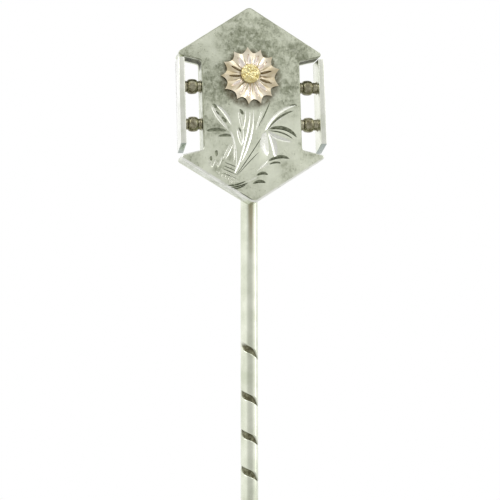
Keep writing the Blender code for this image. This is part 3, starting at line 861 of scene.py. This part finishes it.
for level in ("upper", "lower"):
    coat("cross_rod_" + level, OXIDISED)
    for side_name in ("left", "right"):
        bead = "bead_%s_%s" % (level, side_name)
        make_bead(bead)
        for which in ("inner", "outer"):
            make_collar("collar_%s_%s_%s" % (which, level, side_name), upright_middle(bead))


# ---- flower petals ----
# A rosette cut from rose-gold sheet, cupped so that its thirteen tips stand clear of the
# silver, with a round file's bite between each pair. A graver has opened one leaf-shaped cut
# up the middle of every petal; the narrow ones are painted dark brown as shade. No two are quite alike.
petal_low, petal_high = (Vector(c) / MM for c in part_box("flower_petals"))
BITE_DEPTH = 0.39
SEAT_RADIUS = 0.70
SHEET_THICK, RIM_THICK = 0.20, 0.13
CUT_START, CUT_END = 0.66, 1.52
BRIGHT_LEAF, SHADED_SLOT = 1, 2
HALF_PETAL = math.radians(13.8)
PETAL_RISE = 0.12                        # petals rise this much between the bites
# the painted shade in the creases between the petals: how wide, how far out, how strong
CREASE_WIDE, CREASE_REACH, CREASE_FADE = 0.06, 1.50, 0.6
CREASE_STRONG, KNOB_DIRT_STRONG = 0.9, 0.8
PER_PETAL, PETAL_RINGS = 28, 30
KNOB_OFF = Vector((-0.04, 0.14))         # the knob's middle, off the rosette's
KNOB_DIRT, KNOB_DIRT_FADE = 0.80, 0.10   # how far the ring of dirt round it reaches, and fades
# tip direction in degrees from level, tip radius, width of the cut, lean of its V, finish
PETALS = [(95, 2.04, 0.30, -0.4, BRIGHT_LEAF), (68, 2.00, 0.32, 0.5, BRIGHT_LEAF),
          (41, 2.06, 0.22, 0.5, BRIGHT_LEAF), (14, 2.09, 0.20, 0.0, SHADED_SLOT),
          (-19, 2.06, 0.20, 0.2, SHADED_SLOT), (-44, 2.02, 0.30, 0.6, BRIGHT_LEAF),
          (-71, 2.02, 0.22, 0.4, BRIGHT_LEAF), (-96, 1.99, 0.24, -0.4, BRIGHT_LEAF),
          (-122, 1.92, 0.14, -0.3, BRIGHT_LEAF), (-153, 2.07, 0.24, -0.6, BRIGHT_LEAF),
          (-180, 2.08, 0.19, 0.0, SHADED_SLOT), (-207, 2.09, 0.19, 0.0, SHADED_SLOT),
          (-236, 2.04, 0.42, -0.5, BRIGHT_LEAF)]


def rose_gold():
    """Pale rose gold, satin from the file.

    A brown-grey film lies on the petals at both sides, painted brown shade in the creases
    between the petals, and brown dirt around the knob."""
    material, place = new_metal("satin rose gold", "#F6E4CC", 0.34)
    grain = noise(place, 0.05, 2.0)
    off = vectors("ABSOLUTE", vectors("SUBTRACT", place, HEAD_LEAN @ Vector((FLOWER.x, 0.0, FLOWER.y)) * MM))
    aside = spread(axis(off, "X"), 0.6 * MM, 1.4 * MM)
    level = spread(axis(off, "Z"), 0.6 * MM, 1.4 * MM, 1.0, 0.0)
    film = maths("MULTIPLY_ADD", product(aside, level), 0.30, noise(place, 0.45))
    colour = blend(spread(film, 0.40, 0.86), "#FEF4DE", "#DCCDAA")
    # painted shade in the creases between the petals, and dirt in a ring round the knob
    crease_shade_and_knob_dirt = product(stored(place, "crease_shade_and_knob_dirt"), spread(grain, 0.25, 0.6, 0.6, 1.0))
    colour = blend(crease_shade_and_knob_dirt, colour, "#857253")
    return feed(material, colour, spread(grain, 0.3, 0.7, 0.26, 0.42), (grain, 0.4, 0.006))


def rose_cut():
    """Rose gold freshly cut by the graver: smooth and bright."""
    material, place = new_metal("bright cut rose gold", "#FDF3E8", 0.18)
    return feed(material, roughness=spread(noise(place, 0.06, 2.0), 0.35, 0.7, 0.14, 0.30))


def rose_painted_shade():
    """Dark brown painted shade: in the narrow cuts of the side petals, and on the sawn edge and back of the
    rosette, where there is some patina too.
    """
    material, place = new_metal("painted shade on rose gold", "#6B5B44", 0.45)
    return feed(material, blend(spread(noise(place, 0.10), 0.35, 0.7), "#C2B494", "#8B7B60"))


def apart(angle, other):
    """The turn from one direction to another, from half a turn back to half a turn on."""
    return (angle - other + math.pi) % (2 * math.pi) - math.pi


def leaf(angle, r, petal):
    """How deep into the petal's cut this point is, from 0 at its edge to 1 at the V's bottom."""
    middle, _tip, width, lean, _finish = PETALS[petal]
    reach = (r - CUT_START) / (CUT_END - CUT_START)
    if not 0.0 < reach < 1.0:
        return 0.0
    half = width / 2 * math.sin(math.pi * reach ** 0.8) ** 0.6
    side = -r * math.sin(apart(angle, math.radians(middle))) / half
    if abs(side) >= 1.0:
        return 0.0
    return (1 - side) / (1 - lean) if side > lean else (1 + side) / (1 + lean)


def nearest_petal(off):
    """How far this offset is off the middle line of the nearest petal, and which petal that is."""
    angle = math.atan2(off.y, off.x)
    return min((abs(apart(angle, math.radians(p[0]))), i) for i, p in enumerate(PETALS))


def make_petals():
    back_y = petal_high.y
    lift = (petal_high.y - petal_low.y) - RIM_THICK
    spokes = []
    for i, (angle, tip, *_cut) in enumerate(PETALS):
        after_angle, after_tip = PETALS[(i + 1) % len(PETALS)][:2]
        if after_angle > angle:
            after_angle -= 360
        for k in range(PER_PETAL):
            t = k / PER_PETAL
            valley = 2 * min(t, 1 - t)
            peak = tip + (after_tip - tip) * t
            bite = BITE_DEPTH * (1 - (1 - valley) ** 2) ** 0.85
            spokes.append((math.radians(angle + (after_angle - angle) * t), peak - bite, valley,
                           i if t < 0.5 else (i + 1) % len(PETALS)))

    def surface(spoke, fraction, front):
        angle, rim, valley, petal = spoke
        r = SEAT_RADIUS * (1 + fraction) if fraction <= 0 else SEAT_RADIUS + (rim - SEAT_RADIUS) * fraction
        out = max(0.0, fraction)
        y = back_y - lift * out ** 1.6
        if front:
            y -= SHEET_THICK + (RIM_THICK - SHEET_THICK) * out
            y += PETAL_RISE * valley ** 1.5 * min(1.0, out * 3)
            y += min(0.6 * SHEET_THICK, 0.55 * PETALS[petal][2]) * leaf(angle, r, petal)
        return FLOWER.x + r * math.cos(angle), y, FLOWER.y + r * math.sin(angle)

    steps = [-0.6, 0.0] + [(k / PETAL_RINGS) ** 0.9 for k in range(1, PETAL_RINGS + 1)]
    rows = [[surface(s, f, False) for s in spokes] for f in steps]
    rows += [[surface(s, f, True) for s in spokes] for f in reversed(steps)]
    petals = piece("flower_petals_cut", *skin(rows), [ROSE, ROSE_CUT, ROSE_SHADE])
    for face in petals.data.polygons:
        off = Vector((face.center.x, face.center.z)) - FLOWER
        petal = nearest_petal(off)[1]
        if face.normal.y < -0.1 and leaf(math.atan2(off.y, off.x), off.length, petal) > 0.0:
            face.material_index = PETALS[petal][4]
        elif face.normal.y > -0.45 and off.length > 1.2:
            face.material_index = SHADED_SLOT                  # painted shade, dark brown, on the sawn edge and behind, with some patina
    # painted shade: each point is marked darker near the creases between petals and towards the middle, and
    # by the dirt ring round the knob
    crease_shade_and_knob_dirt = petals.data.attributes.new("crease_shade_and_knob_dirt", "FLOAT", "POINT")
    for vert, mark in zip(petals.data.vertices, crease_shade_and_knob_dirt.data):
        off = Vector((vert.co.x, vert.co.z)) - FLOWER
        fold = max(0.0, 1 - (HALF_PETAL - nearest_petal(off)[0]) * off.length / CREASE_WIDE)
        fading = held((CREASE_REACH - off.length) / CREASE_FADE)
        ring = held((KNOB_DIRT - (off - KNOB_OFF).length) / KNOB_DIRT_FADE)
        mark.value = min(1.0, CREASE_STRONG * fold * fading + KNOB_DIRT_STRONG * ring)
    settle(petals, 28)
    return petals


ROSE, ROSE_CUT, ROSE_SHADE = rose_gold(), rose_cut(), rose_painted_shade()
flower_petals = make_petals()
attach(flower_petals, "root")
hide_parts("flower_petals")


# ---- flower centre ----
# A domed knob of yellow gold with small grains fused to it, crossed by one raised ridge and
# nicked beside it. It is soldered to the rosette, clearly high and a hair to the left.
boss_middle = upright_middle("flower_centre")
boss_low, boss_high = (Vector(c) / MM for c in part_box("flower_centre"))
BOSS_RADIUS = 0.665
BOSS_SPARE = 0.07                        # height left for the grains on the dome
RIDGE_FROM, RIDGE_TO, NICK = Vector((-0.17, -0.20)), Vector((0.50, -0.58)), Vector((0.47, -0.20))
RIDGE_HIGH, RIDGE_WIDE, NICK_DEEP, NICK_WIDE = 0.08, 0.09, 0.24, 0.11
LUMPS = ((5.0, 0.05), (11.5, 0.025))     # how often in a millimetre, how high
BOSS_SIDES, BOSS_RINGS = 90, 26


def yellow_gold():
    """Pale yellow gold, granular, with dirt in the hollows between the grains."""
    material, place = new_metal("granulated yellow gold", "#F3E8A8", 0.28)
    grit = noise(place, 0.07)
    colour = blend(spread(noise(place, 0.22), 0.38, 0.66), "#FFF7C6", "#DFCD8C")
    colour = blend(spread(grit, 0.54, 0.72, 0.0, 0.6), colour, "#AE9A5E")
    # painted shade: the knob darkens to brown round its foot, where it meets the rosette
    off = vectors("SUBTRACT", place, HEAD_LEAN @ boss_middle * MM)
    foot = vectors("LENGTH", vectors("MULTIPLY", off, (1.0, 0.0, 1.0)))
    colour = blend(spread(foot, 0.60 * MM, 0.68 * MM, 0.0, 0.8), colour, "#857048")
    return feed(material, colour, bump=(grit, 0.5, 0.012))


def grain_tree():
    """Geometry Nodes that scatter half-sunk grains over a dome."""
    tree, given = node_group("gold grains", (
        ("Geometry", "Geometry"), ("Spacing", "Float"), ("Grain Radius", "Float"), ("Seed", "Int"),
        ("Material", "Material")))
    outward = axis(add(tree, "GeometryNodeInputNormal").outputs[0], "Y")
    domed = add(tree, "FunctionNodeCompare", {0: outward, 1: -0.15}, data_type="FLOAT",
                operation="LESS_THAN").outputs[0]
    points = add(tree, "GeometryNodeDistributePointsOnFaces",
                 {"Mesh": given["Geometry"], "Selection": domed, "Distance Min": given["Spacing"],
                  "Density Max": 400.0, "Seed": given["Seed"]}, distribute_method="POISSON")
    ball = add(tree, "GeometryNodeMeshIcoSphere", {"Radius": given["Grain Radius"], "Subdivisions": 3})
    size = add(tree, "FunctionNodeRandomValue", {2: 0.5, 3: 1.3, "Seed": given["Seed"]},
               data_type="FLOAT")
    wide = add(tree, "ShaderNodeCombineXYZ", {0: size.outputs[1], 1: size.outputs[1], 2: 0.55})
    copies = add(tree, "GeometryNodeInstanceOnPoints",
                 {"Points": points.outputs["Points"], "Instance": ball.outputs["Mesh"],
                  "Rotation": points.outputs["Rotation"], "Scale": wide.outputs[0]})
    both = add(tree, "GeometryNodeJoinGeometry")
    tree.links.new(copies.outputs[0], both.inputs[0])
    tree.links.new(given["Geometry"], both.inputs[0])
    give_out(tree, both.outputs[0], given["Material"])
    return tree


def boss_relief(flat, rise):
    """How much higher than the plain dome the knob is here: lumps, the ridge and the nick."""
    spot = Vector((flat.x, flat.y, rise))
    lumps = sum(high * bpy_noise.noise(spot * often) for often, high in LUMPS)
    ridge = RIDGE_TO - RIDGE_FROM
    along = held((flat - RIDGE_FROM).dot(ridge) / ridge.length_squared)
    off = (flat - RIDGE_FROM.lerp(RIDGE_TO, along)).length
    return (lumps + RIDGE_HIGH * math.exp(-(off / RIDGE_WIDE) ** 2)
            - NICK_DEEP * math.exp(-((flat - NICK).length / NICK_WIDE) ** 2))


def make_boss():
    height = boss_high.y - boss_low.y - BOSS_SPARE
    rows = []
    climb = [math.pi / 2 * k / (BOSS_RINGS + 0.5) for k in range(BOSS_RINGS + 1)]
    shape = [(0.3, 0.0), (0.97, 0.0)] + [(math.cos(a) ** 0.75, height * (0.3 + 0.7 * math.sin(a)))
                                         for a in climb]
    for fraction, rise in shape:
        row = []
        for k in range(BOSS_SIDES):
            a = 2 * math.pi * k / BOSS_SIDES
            flat = Vector((math.cos(a), math.sin(a))) * BOSS_RADIUS * fraction
            up = min(rise + boss_relief(flat, rise), height + BOSS_SPARE) if rise > 0.0 else rise
            row.append((boss_middle.x + flat.x, boss_high.y - max(0.0, up), boss_middle.z + flat.y))
        rows.append(row)
    boss = piece("flower_centre_granulated", *skin(rows), [YELLOW])
    run_nodes(boss, grain_tree(), {"Spacing": 0.15, "Grain Radius": 0.085, "Seed": 7,
                                   "Material": YELLOW})
    settle(boss, 60)
    return boss


YELLOW = yellow_gold()
flower_centre = make_boss()
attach(flower_centre, "root")
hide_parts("flower_centre")


# ---- stem ----
# Round silver wire, soldered up the back of the head and filed to a point below. A spiral is
# cut round its middle, left-handed and closing up as it goes down, to grip the cloth. The
# cut has gone dark, and a brown stain has crept down from the solder.
stem_low, stem_high = (Vector(c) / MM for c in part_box("pin_stem"))
STEM_RADIUS = 0.60
FILED_SIDE = math.radians(238)           # the cut is widest here, left of the front, and thin elsewhere
OPENING_START = -2.6                     # the opening turns begin this far above the first crossing
SWAY = 0.095                             # how much flatter the opening turns run across the front
FILED_LEAST, FILED_MORE, FILED_SHARP = 0.36, 0.78, 2.2     # width of the cut away from and on its filed side
FLOOR_SHARE = 0.55                       # the flat floor's share of the cut's width
FADE_IN, FADE_OUT = 0.18, 0.25           # turns over which the cut's ends fade


def stem_tree():
    """Geometry Nodes that bend a grid into the stem, its columns running along the spiral."""
    lengths = ("Radius", "Top", "Tip", "Top Dome", "Point Length", "First Crossing", "Pitch", "Opening Turns",
               "Opening Length", "Run In", "Run Out", "Cut Width", "Cut Depth")
    tree, given = node_group("spiral cut stem", [(name, "Float") for name in lengths] + [
        ("Rows", "Int"), ("Columns", "Int"), ("Material", "Material")])
    grid = add(tree, "GeometryNodeMeshGrid", {"Size X": 1.0, "Size Y": 1.0, "Vertices X": given["Columns"],
                                              "Vertices Y": given["Rows"]})
    place = add(tree, "GeometryNodeInputPosition").outputs[0]
    across, down = (maths("ADD", axis(place, name), 0.5) for name in "XY")
    top, tip, pitch, opening = (given[name] for name in ("Top", "Tip", "Pitch", "Opening Turns"))
    z = maths("MULTIPLY_ADD", down, less(tip, top), top)

    # turns made so far: a steady pitch, less the wider opening turns
    gone = maths("MAXIMUM", less(product(z, -1.0), given["First Crossing"]), OPENING_START)
    fade = maths("POWER", math.e, product(maths("DIVIDE", gone, given["Opening Length"]), -1.0))
    turns = less(maths("DIVIDE", gone, pitch), product(opening, less(1.0, fade)))
    sway = product(maths("MINIMUM", fade, 1.0), SWAY)
    phase = product(turns, 2 * math.pi)
    turns = maths("MULTIPLY_ADD", sway, maths("SINE", phase), turns)

    # section of the cut: a flat floor with steep sides, wide on the filed side and thin elsewhere
    slowing = product(fade, maths("DIVIDE", opening, given["Opening Length"]))
    swayed = maths("MULTIPLY_ADD", product(sway, 2 * math.pi), maths("COSINE", phase), 1.0)
    facing = maths("COSINE", maths("MULTIPLY_ADD", turns, 2 * math.pi, 1.5 * math.pi - FILED_SIDE))
    filed = maths("POWER", maths("MAXIMUM", facing, 0.0), FILED_SHARP)
    filed = maths("MULTIPLY_ADD", filed, FILED_MORE, FILED_LEAST)
    wave = add(tree, "ShaderNodeTexNoise", {"Vector": place, "Scale": 0.5, "Detail": 2.0}).outputs["Fac"]
    half = product(given["Cut Width"], 0.5, less(maths("DIVIDE", 1.0, pitch), slowing), swayed, filed,
                   maths("MULTIPLY_ADD", wave, 0.5, 0.75))
    off = maths("ABSOLUTE", less(across, 0.5))
    section = spread(off, half, product(half, FLOOR_SHARE), kind="SMOOTHSTEP")

    # the cut fades in and out at its ends
    start = spread(turns, given["Run In"], maths("ADD", given["Run In"], FADE_IN))
    end = spread(turns, given["Run Out"], less(given["Run Out"], FADE_OUT))
    cut = product(start, end, section)

    # radius: domed top, long point, less the cut
    rise = maths("DIVIDE", less(z, less(top, given["Top Dome"])), given["Top Dome"])
    rise = maths("MAXIMUM", rise, 0.0)
    dome = maths("SQRT", maths("MAXIMUM", less(1.0, product(rise, rise)), 0.0))
    left = maths("DIVIDE", less(z, tip), given["Point Length"])
    left = maths("MINIMUM", maths("MAXIMUM", left, 0.0), 1.0)
    point = less(1.0, maths("POWER", less(1.0, left), 1.5))
    radius = less(product(dome, point, given["Radius"]), product(cut, given["Cut Depth"]))

    angle = maths("MULTIPLY_ADD", maths("ADD", across, turns), 2 * math.pi, math.pi / 2)
    spot = add(tree, "ShaderNodeCombineXYZ", {0: product(radius, maths("COSINE", angle)),
                                              1: product(radius, maths("SINE", angle)), 2: z})
    marked = add(tree, "GeometryNodeStoreNamedAttribute", {"Geometry": grid.outputs["Mesh"], "Name": "cut",
                                                           "Value": cut}, data_type="FLOAT", domain="POINT")
    moved = add(tree, "GeometryNodeSetPosition", {"Geometry": marked.outputs[0], "Position": spot.outputs[0]})
    joined = add(tree, "GeometryNodeMergeByDistance", {"Geometry": moved.outputs[0], "Distance": 0.0005})
    give_out(tree, joined.outputs[0], given["Material"])
    return tree


def stem_silver():
    """Polished wire, streaked by rubbing; the cut is painted dark olive-brown, brown stains the top."""
    material, place = new_metal("polished silver wire", "#E4E8D6", 0.18)
    rub = noise(place, 0.08, 2.0, 0.6, (1.0, 1.0, 0.05))
    colour = blend(spread(noise(place, 1.4), 0.35, 0.72), "#EDF0DF", "#D2D7C2")
    colour = blend(spread(noise(place, 0.16, 4.0, 0.7), 0.70, 0.80), colour, "#A79E80")

    # brown stain: a tongue down the front, just under the head
    narrow = spread(maths("ABSOLUTE", axis(place, "X")), 0.06 * MM, 0.24 * MM, 1.0, 0.0)
    front = spread(axis(place, "Y"), -0.2 * MM, -0.45 * MM)
    height = spread(axis(place, "Z"), -4.2 * MM, -0.2 * MM)
    colour = blend(spread(product(narrow, front, height), 0.05, 0.75, 0.0, 0.65), colour, "#9A8C62")

    # the spiral cut is made dark olive-brown and rougher
    darkened_cut = spread(stored(place, "cut"), 0.25, 0.75)
    dark = blend(spread(noise(place, 0.25), 0.4, 0.65), "#5E5B45", "#8E8F76")
    return feed(material, blend(darkened_cut, colour, dark),
                between(darkened_cut, spread(rub, 0.3, 0.7, 0.14, 0.24), 0.42), (rub, 0.3, 0.004))


WIRE = stem_silver()
stem = piece("pin_stem_spiral_cut", [], [], [WIRE])
run_nodes(stem, stem_tree(), {
    "Radius": STEM_RADIUS, "Top": stem_high.z, "Tip": stem_low.z, "Top Dome": 0.25,
    "Point Length": 7.0, "First Crossing": 10.03, "Pitch": 2.27, "Opening Turns": 0.776,
    "Opening Length": 3.9, "Run In": -0.27, "Run Out": 6.4, "Cut Width": 0.66,
    "Cut Depth": 0.13, "Rows": 960, "Columns": 65, "Material": WIRE})
settle(stem, 50, lean=False)
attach(stem, "root")
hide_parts("pin_stem")


# ---- solder ----
# Silver solder drawn in along both sides of the stem where it lies in the back sheet. It fills
# the corner with a small hollow fillet that tails off at the top.
SOLDER_SIZE, SOLDER_LOW, SOLDER_STEPS = 0.17, 0.45, 60


def solder_fillet(side):
    """One fillet between the stem and the back sheet, as a closed sliver."""
    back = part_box("back_plate")[1][1] / MM
    rng = random.Random(11 + side)
    rows = []
    high_z = stem_high.z - 0.1
    lean_angle = math.acos(min(1.0, (-back) / STEM_RADIUS))
    corner = STEM_RADIUS * math.sin(lean_angle)
    root, pull = (corner - 0.03, back - 0.03), (corner + 0.02, back + 0.02)
    for k in range(SOLDER_STEPS + 1):
        t = k / SOLDER_STEPS
        size = SOLDER_SIZE * (1 + 0.15 * math.sin(t * 23 + side)) * min(1.0, 9 * (1 - t) + 0.1, 6 * t + 0.35)
        size *= rng.uniform(0.94, 1.06)
        up_angle = lean_angle + size / STEM_RADIUS
        on_wire = (STEM_RADIUS * math.sin(up_angle) - 0.015, -STEM_RADIUS * math.cos(up_angle))
        on_sheet = (corner + size * 1.5, back - 0.01)
        points = [root, on_sheet]
        for u in (j / 6 for j in range(1, 6)):
            x = on_sheet[0] * (1 - u) ** 2 + pull[0] * 2 * u * (1 - u) + on_wire[0] * u ** 2
            y = (on_sheet[1] + 0.012) * (1 - u) ** 2 + pull[1] * 2 * u * (1 - u) + on_wire[1] * u ** 2
            points.append((x, y))
        points.append(on_wire)
        rows.append([(side * x, y, SOLDER_LOW + (high_z - SOLDER_LOW) * t) for x, y in points])
    return skin(rows)


for side, side_name in ((-1, "left"), (1, "right")):
    fillet = piece("stem_solder_" + side_name, *solder_fillet(side), [STRIP_SILVER])
    settle(fillet, 50, lean=False)
    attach(fillet, "root")
